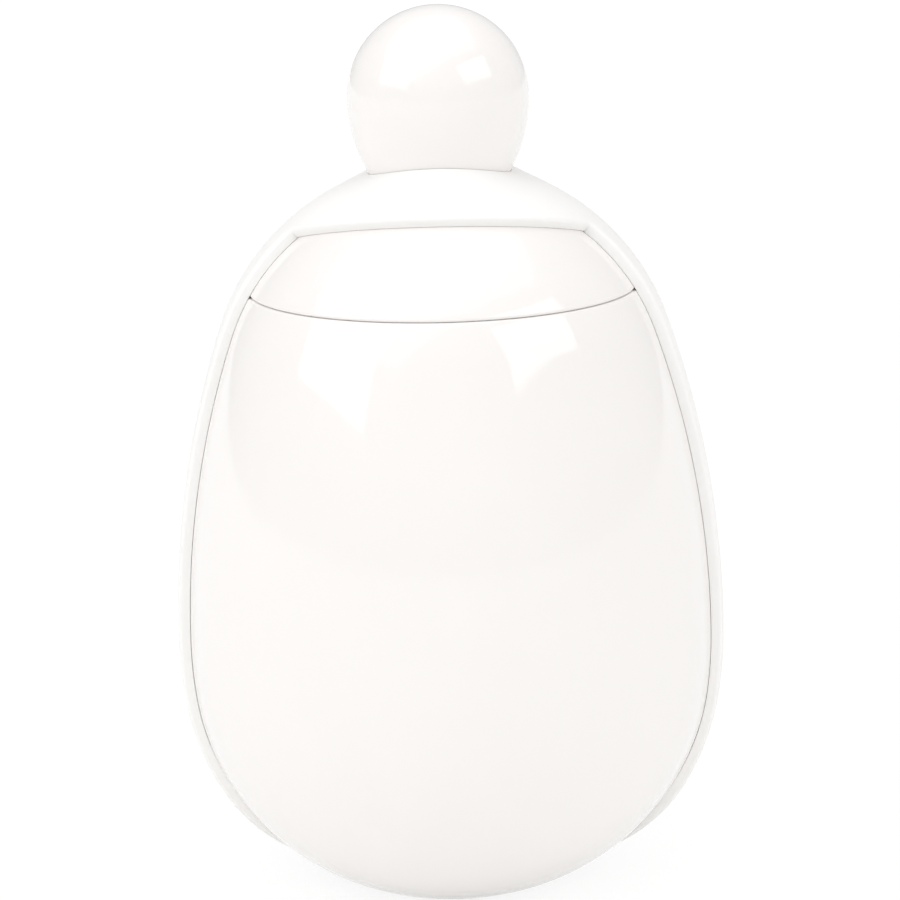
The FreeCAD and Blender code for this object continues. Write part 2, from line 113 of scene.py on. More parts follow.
class CoddlerPorcelain(bpy.types.PropertyGroup):
    """Sizes of the cup, the lid and the line that both follow"""

    foot_radius: length(12.5 * MM, "Foot radius", "Radius of the flat foot")
    belly_radius: length(CUP_BOX[1].x, "Belly radius", "Widest radius of the porcelain")
    belly_height: length(31.9 * MM, "Belly height", "Height of the widest place")
    lower_side_radius: length(54.0 * MM, "Lower side arc", "Arc from the bowl up to the belly")
    lower_side_sweep: turn(8.0, "Lower side sweep", "Angle that the lower side arc covers")
    upper_side_radius: length(120.0 * MM, "Upper side arc", "Arc from the belly up to the shoulder")
    shoulder_height: length(70.9 * MM, "Shoulder height", "Where the side arc gives way to the crown arc")
    rim_height: length(CUP_BOX[1].z, "Rim height", "Top of the cup's rim")
    cup_wall: length(3.5 * MM, "Cup wall", "Thickness of the cup's wall")
    floor_height: length(7.35 * MM, "Floor height", "Inside floor above the foot")
    floor_round: length(7.0 * MM, "Floor rounding", "Rounding between floor and wall inside")
    rim_round: length(0.3 * MM, "Rim rounding", "Rounding of the rim's edges")
    foot_round: length(0.6 * MM, "Foot rounding", "Rounding of the foot's edge")
    channel_half_width: length(5.8 * MM, "Channel half width", "Half the width of the channel in the foot")
    channel_roof: length(3.85 * MM, "Channel roof", "Top of the channel above the foot's plane")
    seat_gap: length(0.04 * MM, "Seat gap", "Gap between lid and rim")
    lid_wall: length(3.2 * MM, "Lid wall", "Thickness of the lid's dome")
    lid_edge_round: length(0.3 * MM, "Lid edge rounding", "Rounding of the lid's outer edge")
    flange_low: length(LID_BOX[0].z, "Flange foot", "Height of the flange's lower edge")
    flange_play: length(0.4 * MM, "Flange play", "Play between the flange and the cup's mouth")
    flange_wall: length(2.6 * MM, "Flange wall", "Thickness of the flange")
    flange_round: length(0.8 * MM, "Flange rounding", "Rounding of the flange's edges")
    neck_radius: length(8.8 * MM, "Neck radius", "Radius of the knob's neck")
    knob_radius: length(11.2 * MM, "Knob radius", "Radius of the ball knob")
    knob_taper_radius: length(19.0 * MM, "Knob taper arc", "Arc from the ball in to the neck")
    knob_top: length(LID_BOX[1].z, "Knob top", "Height of the knob's top")
    steps_around: bpy.props.IntProperty(
        name="Steps around", description="Faces round the axis", default=240, min=24, max=512
    )


class CoddlerStrap(bpy.types.PropertyGroup):
    """Sizes of the silicone strap"""

    gap: length(0.03 * MM, "Gap", "Gap between strap and porcelain")
    thickness: length(1.37 * MM, "Thickness", "Thickness of the strap")
    width: length(11.0 * MM, "Arm width", "Width of the two arms")
    lift: length(STRAP_BOX[0].z, "Lift", "Underside of the strap above the foot's plane")
    bend_radius: length(20.0 * MM, "Lower bend", "Outer face of each arm's bend under the foot")
    hole_radius: length(8.83 * MM, "Hole radius", "Radius of the collar's hole")
    collar_reach: length(15.65 * MM, "Collar reach", "Front edge of the collar from the axis")
    collar_corner: length(18.4 * MM, "Collar corner", "Corner between collar and arm, out from the axis")
    corner_round: length(1.2 * MM, "Corner rounding", "Rounding in that corner")
    front_lift: length(2.25 * MM, "Front lift", "How far the collar rides up the knob, front and back")
    side_lift: length(0.25 * MM, "Side lift", "How far it rides up at the sides, over the arms")
    lift_reach: length(6.0 * MM, "Lift reach", "How far out from its hole the collar is lifted")
    edge_round: length(0.6 * MM, "Edge rounding", "Rounding of the moulded edges")
    inner_edge_share: amount(0.15, "Inner edge share", "Rounding of the edges on the porcelain, as a share")
    hole_edge_share: amount(0.2, "Hole edge share", "Rounding of the hole's upper edge, as a share")
    stretch_from: length(34.0 * MM, "Stretch from", "Height above which a lifted lid stretches the arms")
    stretch_to: length(75.4 * MM, "Stretch to", "Height above which the strap goes with the lid")


class CoddlerFinish(bpy.types.PropertyGroup):
    """Colours and gloss"""

    glaze: shade("#F8F5F3", "Glaze", "Glazed porcelain")
    glaze_shade: shade("#F5F2F0", "Glaze, thicker", "Glaze where it lies thicker")
    bisque: shade("#E9E3D9", "Bare porcelain", "Unglazed foot")
    speck: shade("#A29B90", "Speck", "Tiny kiln specks under the glaze")
    glaze_roughness: amount(0.06, "Glaze roughness", "Roughness of the glaze")
    bisque_roughness: amount(0.8, "Bare roughness", "Roughness of the unglazed foot")
    silicone: shade("#FCFBFA", "Silicone", "White silicone")
    silicone_shade: shade("#F9F8F6", "Silicone, duller", "Silicone where handling dulls it")
    silicone_roughness: amount(0.48, "Silicone roughness", "Roughness of the moulded silicone")


class CoddlerStage(bpy.types.PropertyGroup):
    """Floor, light and camera"""

    floor: shade("#FDFDFC", "Floor", "Pale floor")
    floor_reach: length(4000 * MM, "Floor reach", "Half the width of the floor")
    floor_glow: amount(0.86, "Floor glow", "Share of plain white that the camera sees near the coddler")
    floor_white: amount(1.03, "Floor white", "Strength of that white, over 1 so that it stays white")
    world_left: amount(0.475, "World, left", "Light from all round, at the left")
    world_right: amount(0.645, "World, right", "Light from all round, at the right")
    overhead_level: amount(0.74, "Overhead softbox", "Light from the softbox overhead")
    left_level: amount(1.6, "Left softbox", "Light from the softbox at the left")
    right_level: amount(2.0, "Right softbox", "Light from the softbox at the right")
    lens: bpy.props.FloatProperty(name="Lens", description="Focal length in millimetres", default=147.4)
    pitch: turn(12.78, "Pitch", "How far the camera looks down")
    swing: turn(1.0, "Swing", "How far the camera looks round to the left")
    distance: length(450 * MM, "Camera distance", "Camera's distance from the coddler's axis, on the level")
    aside: length(0.4 * MM, "Camera aside", "How far the camera passes the axis by, to the right")
    height: length(156.9 * MM, "Camera height", "Camera's height above the floor")
    roll: turn(1.43, "Roll", "How far the camera leans clockwise")


# ------------ profiles in the plane of radius and height


def arc(centre, radius, start, end):
    """Part of a circle, travelled from the angle start to the angle end."""
    return {"centre": Vector(centre), "radius": radius, "start": start, "end": end}


def line(start, end):
    """A straight piece from point to point."""
    return {"start": Vector(start), "end": Vector(end)}


def polar(centre, radius, angle):
    """The point of a circle at an angle."""
    return centre + radius * Vector((math.cos(angle), math.sin(angle)))


def end_point(piece, which):
    """First or last point of a piece; which is "start" or "end"."""
    if "centre" in piece:
        return polar(piece["centre"], piece["radius"], piece[which])
    return piece[which]


def heading(piece, which):
    """Unit direction of travel at the start or end of a piece."""
    if "centre" in piece:
        side = 1.0 if piece["end"] > piece["start"] else -1.0
        angle = piece[which]
        return side * Vector((-math.sin(angle), math.cos(angle)))
    return (piece["end"] - piece["start"]).normalized()


def shifted(piece, left):
    """The piece's whole circle or line, moved to its left: (centre, radius) or (point, direction)."""
    if "centre" in piece:
        side = 1.0 if piece["end"] > piece["start"] else -1.0
        return piece["centre"], piece["radius"] - side * left
    way = heading(piece, "start")
    return piece["start"] + left * Vector((-way.y, way.x)), way


def crossing(one, other, near):
    """Where two circles or lines cross, the place nearest to a point."""
    lines = [c for c in (one, other) if isinstance(c[1], Vector)]
    circles = [c for c in (one, other) if not isinstance(c[1], Vector)]
    if len(lines) == 2:
        (p, u), (q, v) = lines
        return p + u * ((q - p).cross(v) / u.cross(v))
    if lines:
        (p, u), (c, r) = lines[0], circles[0]
        foot = p + u * (c - p).dot(u)
        half = math.sqrt(r * r - (foot - c).length_squared)
        places = [foot + u * half, foot - u * half]
    else:
        (c, r), (d, s) = circles
        gap = (d - c).length
        along = (gap * gap + r * r - s * s) / (2 * gap)
        half = math.sqrt(r * r - along * along)
        way = (d - c) / gap
        places = [c + way * along + k * half * Vector((-way.y, way.x)) for k in (1, -1)]
    return min(places, key=lambda place: (place - near).length)


def cut_back(piece, which, centre):
    """The piece ended where a rounding circle with this centre touches it."""
    piece = dict(piece)
    if "centre" in piece:
        away = centre - piece["centre"]
        angle = math.atan2(away.y, away.x)
        old = piece[which]
        piece[which] = angle + math.tau * round((old - angle) / math.tau)
        if abs(piece[which] - old) > math.pi / 2:
            piece[which] += math.copysign(math.pi, old - piece[which])
    else:
        way = heading(piece, "start")
        piece[which] = piece["start"] + way * (centre - piece["start"]).dot(way)
    return piece


def rounded(pieces, corners):
    """The pieces with arcs in some corners. corners gives radii by number; corner n follows piece n."""
    pieces, result = list(pieces), []
    for number, piece in enumerate(pieces):
        radius = corners.get(number)
        if radius is None:
            result.append(piece)
            continue
        after = pieces[number + 1]
        one, other = heading(piece, "end"), heading(after, "start")
        side = math.copysign(1.0, one.cross(other))
        beside = shifted(piece, side * radius), shifted(after, side * radius)
        centre = crossing(*beside, end_point(piece, "end"))
        piece = cut_back(piece, "end", centre)
        pieces[number + 1] = after = cut_back(after, "start", centre)
        first, last = end_point(piece, "end") - centre, end_point(after, "start") - centre
        start = math.atan2(first.y, first.x)
        sweep = (math.atan2(last.y, last.x) - start) * side % math.tau * side
        result += [piece, arc(centre, radius, start, start + sweep)]
    return result


def sampled(pieces, tolerance):
    """Points along the pieces, so close that no chord leaves its arc by more than the tolerance."""
    points = [end_point(pieces[0], "start")]
    for piece in pieces:
        steps = 1
        if "centre" in piece:
            step = 2 * math.acos(1 - tolerance / piece["radius"])
            sweep = piece["end"] - piece["start"]
            steps = max(2, math.ceil(abs(sweep) / step))
        for n in range(1, steps + 1):
            if "centre" in piece:
                angle = piece["start"] + sweep * n / steps
                points.append(polar(piece["centre"], piece["radius"], angle))
            else:
                points.append(piece["end"])
    return points


class EggLine:
    """The line that cup, lid and strap follow: bowl, lower side, upper side and crown arcs."""

    def __init__(self, sizes):
        self.sizes = sizes
        belly, level = sizes.belly_radius, sizes.belly_height
        lower, upper = sizes.lower_side_radius, sizes.upper_side_radius
        sweep, rise = sizes.lower_side_sweep, sizes.shoulder_height - sizes.belly_height
        self.shoulder = math.asin(rise / upper)
        self.crown_radius = upper - (upper - belly) / math.cos(self.shoulder)
        self.crown = Vector((0.0, level + (upper - self.crown_radius) * math.sin(self.shoulder)))
        out = belly - lower * (1 - math.cos(sweep)) - sizes.foot_radius
        height = level - lower * math.sin(sweep)
        across, down = math.cos(sweep), math.sin(sweep)
        self.bowl_radius = (out**2 + height**2) / (2 * (out * across - height * down))
        joint = Vector((sizes.foot_radius + out, height))
        self.bowl = joint - self.bowl_radius * Vector((across, -down))
        self.lower, self.upper = Vector((belly - lower, level)), Vector((belly - upper, level))

    def arcs(self, offset, start, top):
        """The four arcs, moved out by offset, from an angle on the bowl to an angle on the crown."""
        sweep = self.sizes.lower_side_sweep
        return [
            arc(self.bowl, self.bowl_radius + offset, start, -sweep),
            arc(self.lower, self.sizes.lower_side_radius + offset, -sweep, 0.0),
            arc(self.upper, self.sizes.upper_side_radius + offset, 0.0, self.shoulder),
            arc(self.crown, self.crown_radius + offset, self.shoulder, top),
        ]

    def bowl_at_height(self, offset, height):
        """Angle at which the bowl, moved out by offset, has this height."""
        return math.asin((height - self.bowl.y) / (self.bowl_radius + offset))

    def crown_at_height(self, offset, height):
        """Angle at which the crown, moved out by offset, has this height."""
        return math.asin((height - self.crown.y) / (self.crown_radius + offset))

    def crown_at_radius(self, offset, radius):
        """Angle at which the crown, moved out by offset, is this far from the axis."""
        return math.acos(radius / (self.crown_radius + offset))

    def inside(self):
        """The cup's inside, from the floor up to the rim."""
        wall = self.sizes.cup_wall
        low = self.bowl_at_height(-wall, self.sizes.floor_height)
        top = self.crown_at_height(-wall, self.sizes.rim_height)
        return self.arcs(-wall, low, top)

    def lower_bend(self, strap):
        """Centre of the strap's lower bend, and the angle on the bowl where the bend meets it."""
        reach = self.bowl_radius + strap.gap + strap.thickness - strap.bend_radius
        angle = -math.asin((self.bowl.y - strap.lift - strap.bend_radius) / reach)
        return polar(self.bowl, reach, angle), angle


def backwards(pieces):
    """The same pieces, travelled from the last to the first."""
    return [dict(p, start=p["end"], end=p["start"]) for p in reversed(pieces)]


def cup_profile(sizes):
    """Half section of the cup, from the middle of the foot over the rim to the middle of the inside."""
    egg = EggLine(sizes)
    low, top = egg.bowl_at_height(0.0, 0.0), egg.crown_at_height(0.0, sizes.rim_height)
    outside = egg.arcs(0.0, low, top)
    inside = backwards(egg.inside())
    foot = line((0, 0), end_point(outside[0], "start"))
    rim = line(end_point(outside[3], "end"), end_point(inside[0], "start"))
    floor = line(end_point(inside[3], "end"), (0, sizes.floor_height))
    pieces = [foot, *outside, rim, *inside, floor]
    corners = {0: sizes.foot_round, 4: sizes.rim_round, 5: sizes.rim_round, 9: sizes.floor_round}
    return rounded(pieces, corners)


def channel_profile(sizes, strap):
    """Half section of what the channel leaves of the cup: flat over the foot, up round the strap's bend,
    and straight on, out of the cup's side."""
    centre, turned_to = EggLine(sizes).lower_bend(strap)
    bend = arc(centre, centre.y - sizes.channel_roof, -math.pi / 2, turned_to)
    edge, way = end_point(bend, "end"), heading(bend, "end")
    far = edge + way * (sizes.belly_height - edge.y) / way.y
    start = Vector((0.0, sizes.channel_roof))
    return [line(start, end_point(bend, "start")), bend, line(edge, far), line(far, (0.0, far.y))]


def lid_profile(sizes):
    """Half section of the lid, from the middle under the dome, round flange and dome, to the knob's top."""
    egg = EggLine(sizes)
    dome, under = egg.crown_radius, egg.crown_radius - sizes.lid_wall
    seat = sizes.rim_height + sizes.seat_gap
    outer = end_point(egg.inside()[3], "end").x - sizes.flange_play
    inner = outer - sizes.flange_wall
    ball = Vector((0.0, sizes.knob_top - sizes.knob_radius))
    taper, neck = sizes.knob_taper_radius, sizes.neck_radius
    taper_centre = Vector((sizes.knob_radius - taper, ball.y))
    taper_start = -math.acos((neck - taper_centre.x) / taper)
    dome_start, dome_end = egg.crown_at_height(0.0, seat), egg.crown_at_radius(0.0, neck)
    dome_foot, dome_top = polar(egg.crown, dome, dome_start), polar(egg.crown, dome, dome_end)
    taper_foot = polar(taper_centre, taper, taper_start)
    ceiling = arc(egg.crown, under, math.pi / 2, math.acos(inner / under))
    pieces = [
        ceiling,
        line(end_point(ceiling, "end"), (inner, sizes.flange_low)),
        line((inner, sizes.flange_low), (outer, sizes.flange_low)),
        line((outer, sizes.flange_low), (outer, seat)),
        line((outer, seat), dome_foot),
        arc(egg.crown, dome, dome_start, dome_end),
        line(dome_top, taper_foot),
        arc(taper_centre, taper, taper_start, 0.0),
        arc(ball, sizes.knob_radius, 0.0, math.pi / 2),
    ]
    corners = {1: sizes.flange_round, 2: sizes.flange_round, 4: sizes.lid_edge_round}
    return rounded(pieces, corners)


# ------------ nodes and materials


def linear(hex_colour):
    """A hex sRGB colour as linear RGBA."""
    values = [int(hex_colour[i : i + 2], 16) / 255 for i in (1, 3, 5)]
    red, green, blue = (v / 12.92 if v <= 0.04045 else ((v + 0.055) / 1.055) ** 2.4 for v in values)
    return red, green, blue, 1.0


def add_node(tree, kind, feeds=None, **settings):
    """Add a node. settings are its properties; feeds gives inputs, by name or number, values or sockets."""
    made = tree.nodes.new(kind)
    for name, value in settings.items():
        setattr(made, name, value)
    for key, value in (feeds or {}).items():
        if isinstance(value, bpy.types.NodeSocket):
            tree.links.new(value, made.inputs[key])
        else:
            made.inputs[key].default_value = value
    return made


def new_material(name):
    """An empty node material and its tree."""
    material = bpy.data.materials.new(name)
    material.use_nodes = True
    material.node_tree.nodes.clear()
    return material, material.node_tree


def per_metre(millimetres):
    """Texture scale for a pattern whose features lie this far apart."""
    return 1 / (millimetres * MM)


def glazed_porcelain(finish):
    """Hard-paste porcelain, slip-cast and dipped in clear glaze: a hard, wet-looking white. Reflections
    wander a little where the glaze ran, a few kiln specks show, and the foot is wiped bare for firing."""
    material, tree = new_material("clear_glazed_porcelain")
    place = add_node(tree, "ShaderNodeTexCoord").outputs["Object"]
    # Clouds 22 mm apart, where the glaze lies thicker and is a little duller.
    cloud = add_node(tree, "ShaderNodeTexNoise", {"Vector": place, "Scale": per_metre(22), "Detail": 2.0})
    usual = finish.glaze_roughness
    feeds = {"Value": cloud.outputs["Fac"], "To Min": usual * 0.8, "To Max": usual * 1.3}
    gloss = add_node(tree, "ShaderNodeMapRange", feeds)
    # Specks in cells of 5 mm. One cell in eight has one, 0.18 mm across at its core and 0.3 mm at its edge.
    cell, core, edge, empty = 5.0, 0.09, 0.15, 7 / 8
    cells = add_node(tree, "ShaderNodeTexVoronoi", {"Vector": place, "Scale": per_metre(cell)})
    feeds = {"Value": cells.outputs["Distance"], "From Min": edge / cell, "From Max": core / cell}
    close = add_node(tree, "ShaderNodeMapRange", feeds)
    chance = add_node(tree, "ShaderNodeSeparateColor", {"Color": cells.outputs["Color"]})
    feeds = {0: chance.outputs["Red"], 1: empty}
    chosen = add_node(tree, "ShaderNodeMath", feeds, operation="GREATER_THAN")
    feeds = {0: close.outputs[0], 1: chosen.outputs[0]}
    speck = add_node(tree, "ShaderNodeMath", feeds, operation="MULTIPLY")
    # The foot's face has no glaze, up to about 0.25 mm.
    height = add_node(tree, "ShaderNodeSeparateXYZ", {"Vector": place})
    feeds = {"Value": height.outputs["Z"], "From Min": 0.35 * MM, "From Max": 0.15 * MM}
    bare = add_node(tree, "ShaderNodeMapRange", feeds)
    # The colours lie over each other: thicker glaze, specks and the bare foot.
    colour = linear(finish.glaze)
    for share, over in ((cloud, finish.glaze_shade), (speck, finish.speck), (bare, finish.bisque)):
        feeds = {"Factor": share.outputs[0], COLOUR_A: colour, COLOUR_B: linear(over)}
        colour = add_node(tree, "ShaderNodeMix", feeds, data_type="RGBA").outputs[COLOUR_OUT]
    feeds = {"Factor": bare.outputs[0], "A": gloss.outputs[0], "B": finish.bisque_roughness}
    rough = add_node(tree, "ShaderNodeMix", feeds, data_type="FLOAT")
    # Glaze runs lie 9 mm apart, and the bare foot has a grain of 0.3 mm.
    runs = add_node(tree, "ShaderNodeTexNoise", {"Vector": place, "Scale": per_metre(9), "Detail": 1.0})
    feeds = {"Strength": 0.35, "Distance": 0.05 * MM, "Height": runs.outputs["Fac"]}
    wave = add_node(tree, "ShaderNodeBump", feeds)
    grain = add_node(tree, "ShaderNodeTexNoise", {"Vector": place, "Scale": per_metre(0.3), "Detail": 3.0})
    feeds = {0: grain.outputs["Fac"], 1: bare.outputs[0]}
    grit = add_node(tree, "ShaderNodeMath", feeds, operation="MULTIPLY")
    feeds = {
        "Strength": 0.5,
        "Distance": 0.04 * MM,
        "Height": grit.outputs[0],
        "Normal": wave.outputs["Normal"],
    }
    rub = add_node(tree, "ShaderNodeBump", feeds)
    feeds = {
        "Base Color": colour,
        "Roughness": rough.outputs[0],
        "IOR": 1.5,
        "Normal": rub.outputs["Normal"],
    }
    shader = add_node(tree, "ShaderNodeBsdfPrincipled", feeds)
    add_node(tree, "ShaderNodeOutputMaterial", {"Surface": shader.outputs[0]})
    return material


def moulded_silicone(finish):
    """White silicone rubber from a fine-blasted mould: satin, soft highlights and a faint even grain."""
    material, tree = new_material("moulded_silicone")
    place = add_node(tree, "ShaderNodeTexCoord").outputs["Object"]
    # Patches 14 mm apart, duller where hands and washing have been.
    patches = add_node(tree, "ShaderNodeTexNoise", {"Vector": place, "Scale": per_metre(14), "Detail": 3.0})
    feeds = {
        "Factor": patches.outputs["Fac"],
        COLOUR_A: linear(finish.silicone),
        COLOUR_B: linear(finish.silicone_shade),
    }
    colour = add_node(tree, "ShaderNodeMix", feeds, data_type="RGBA")
    usual = finish.silicone_roughness
    feeds = {"Value": patches.outputs["Fac"], "To Min": usual * 0.9, "To Max": usual * 1.1}
    rough = add_node(tree, "ShaderNodeMapRange", feeds)
    # Blasting grain, drawn at 0.35 mm: the real one is finer and would not show.
    grain = add_node(tree, "ShaderNodeTexNoise", {"Vector": place, "Scale": per_metre(0.35), "Detail": 2.0})
    feeds = {"Strength": 0.25, "Distance": 0.02 * MM, "Height": grain.outputs["Fac"]}
    pressed = add_node(tree, "ShaderNodeBump", feeds)
    feeds = {
        "Base Color": colour.outputs[COLOUR_OUT],
        "Roughness": rough.outputs[0],
        "IOR": 1.41,
        "Normal": pressed.outputs["Normal"],
    }
    shader = add_node(tree, "ShaderNodeBsdfPrincipled", feeds)
    add_node(tree, "ShaderNodeOutputMaterial", {"Surface": shader.outputs[0]})
    return material


# ------------ turned pieces


def turning_tree():
    """Geometry Nodes tree that turns a profile in the XZ plane round Z. Where asked, it also turns the
    channel's profile, takes that out of a bar, and cuts the bar out of the piece."""
    name = "turned_on_the_axis"
    if name in bpy.data.node_groups:
        return bpy.data.node_groups[name]
    tree = bpy.data.node_groups.new(name, "GeometryNodeTree")
    face = tree.interface
    face.new_socket("Geometry", in_out="INPUT", socket_type="NodeSocketGeometry")
    for label, kind in (
        ("Steps around", "NodeSocketInt"),
        ("Cut the channel", "NodeSocketBool"),
        ("Channel profile", "NodeSocketObject"),
        ("Bar size", "NodeSocketVector"),
        ("Material", "NodeSocketMaterial"),
    ):
        face.new_socket(label, in_out="INPUT", socket_type=kind)
    face.new_socket("Geometry", in_out="OUTPUT", socket_type="NodeSocketGeometry")

    def add(kind, feeds=None, **settings):
        return add_node(tree, kind, feeds, **settings)

    given = add("NodeGroupInput").outputs
    place = add("GeometryNodeInputPosition").outputs[0]

    def turned(curve):
        """A grid with a row for each of the curve's points, bent round the axis and closed."""
        sizes = add("GeometryNodeAttributeDomainSize", {"Geometry": curve}, component="CURVE")
        count = sizes.outputs["Point Count"]
        columns = add("ShaderNodeMath", {0: given["Steps around"], 1: 1.0}, operation="ADD")
        feeds = {"Size X": 1.0, "Size Y": 1.0, "Vertices X": columns.outputs[0], "Vertices Y": count}
        grid = add("GeometryNodeMeshGrid", feeds)
        # The grid goes from -0.5 to 0.5 both ways: X gives the angle, and Y the point of the profile.
        split = add("ShaderNodeSeparateXYZ", {"Vector": place}).outputs
        feeds = {"Value": split["X"], "From Min": -0.5, "From Max": 0.5, "To Max": math.tau}
        angle = add("ShaderNodeMapRange", feeds, clamp=False)
        last = add("ShaderNodeMath", {0: count, 1: 1.0}, operation="SUBTRACT")
        feeds = {"Value": split["Y"], "From Min": -0.5, "From Max": 0.5, "To Max": last.outputs[0]}
        row = add("ShaderNodeMapRange", feeds, clamp=False)
        index = add("ShaderNodeMath", {0: row.outputs[0]}, operation="ROUND")
        feeds = {"Geometry": curve, "Value": place, "Index": index.outputs[0]}
        along = add("GeometryNodeSampleIndex", feeds, data_type="FLOAT_VECTOR", domain="POINT")
        feeds = {"Vector": along.outputs[0], "Angle": angle.outputs[0]}
        spot = add("ShaderNodeVectorRotate", feeds, rotation_type="Z_AXIS")
        feeds = {"Geometry": grid.outputs["Mesh"], "Position": spot.outputs[0]}
        shell = add("GeometryNodeSetPosition", feeds)
        feeds = {"Geometry": shell.outputs[0], "Distance": WELD_DISTANCE}
        return add("GeometryNodeMergeByDistance", feeds).outputs[0]

    def without(mesh, tool):
        """The mesh with the tool's space cut from it."""
        feeds = {"Mesh 1": mesh, "Mesh 2": tool}
        cut = add("GeometryNodeMeshBoolean", feeds, operation="DIFFERENCE", solver="EXACT")
        return cut.outputs["Mesh"]

    piece = turned(given["Geometry"])
    feeds = {"Object": given["Channel profile"]}
    channel = add("GeometryNodeObjectInfo", feeds, transform_space="ORIGINAL")
    bar = add("GeometryNodeMeshCube", {"Size": given["Bar size"]}).outputs["Mesh"]
    cut = without(piece, without(bar, turned(channel.outputs["Geometry"])))
    feeds = {"Switch": given["Cut the channel"], "False": piece, "True": cut}
    either = add("GeometryNodeSwitch", feeds, input_type="GEOMETRY")
    smooth = add("GeometryNodeSetShadeSmooth", {"Geometry": either.outputs[0], "Shade Smooth": True})
    bend = add("GeometryNodeInputMeshEdgeAngle").outputs["Unsigned Angle"]
    keen = add("ShaderNodeMath", {0: bend, 1: KEEN_ANGLE}, operation="GREATER_THAN")
    feeds = {"Geometry": smooth.outputs[0], "Selection": keen.outputs[0], "Shade Smooth": False}
    sharp = add("GeometryNodeSetShadeSmooth", feeds, domain="EDGE")
    whole = add("GeometryNodeRealizeInstances", {"Geometry": sharp.outputs[0]})
    feeds = {"Geometry": whole.outputs[0], "Material": given["Material"]}
    painted = add("GeometryNodeSetMaterial", feeds)
    add("NodeGroupOutput", {"Geometry": painted.outputs[0]})
    return tree


def add_object(name, data):
    """A new object in the scene."""
    made = bpy.data.objects.new(name, data)
    bpy.context.scene.collection.objects.link(made)
    return made


def plain_piece(name, made, material):
    """The evaluated object's mesh as a piece of its own, all in one material; what made it is removed."""
    graph = bpy.context.evaluated_depsgraph_get()
    mesh = bpy.data.meshes.new_from_object(made.evaluated_get(graph))
    bpy.data.objects.remove(made)
    mesh.name = name
    mesh.materials.clear()
    mesh.materials.append(material)
    mesh.polygons.foreach_set("material_index", [0] * len(mesh.polygons))
    return add_object(name, mesh)


def profile_curve(name, profile):
    """A profile as a curve object in the XZ plane."""
    points = sampled(profile, PROFILE_TOLERANCE)
    curve = bpy.data.curves.new(name, "CURVE")
    curve.dimensions = "3D"
    spline = curve.splines.new("POLY")
    spline.points.add(len(points) - 1)
    for target, point in zip(spline.points, points):
        target.co = (max(point.x, 0.0), 0.0, point.y, 1.0)
    return add_object(name, curve)


def turned_piece(name, profile, sizes, material, channel=None):
    """A piece turned from its profile by Geometry Nodes; channel is the channel's profile and height."""
    made = profile_curve(name + "_profile", profile)
    modifier = made.modifiers.new("turned", "NODES")
    modifier.node_group = turning_tree()
    values = {
        "Steps around": sizes.steps_around,
        "Cut the channel": channel is not None,
        "Material": material,
    }
    if channel:
        # The bar is centred on the foot's plane, and it is longer than the cup is wide.
        line_of_channel, height = channel
        values["Channel profile"] = cutter = profile_curve(name + "_channel", line_of_channel)
        values["Bar size"] = (4 * sizes.belly_radius, 2 * sizes.channel_half_width, 2 * height)
    for item in modifier.node_group.interface.items_tree:
        if item.in_out == "INPUT" and item.name in values:
            modifier[item.identifier] = values[item.name]
    piece = plain_piece(name, made, material)
    if channel:
        bpy.data.objects.remove(cutter)
    return piece


# ------------ strap


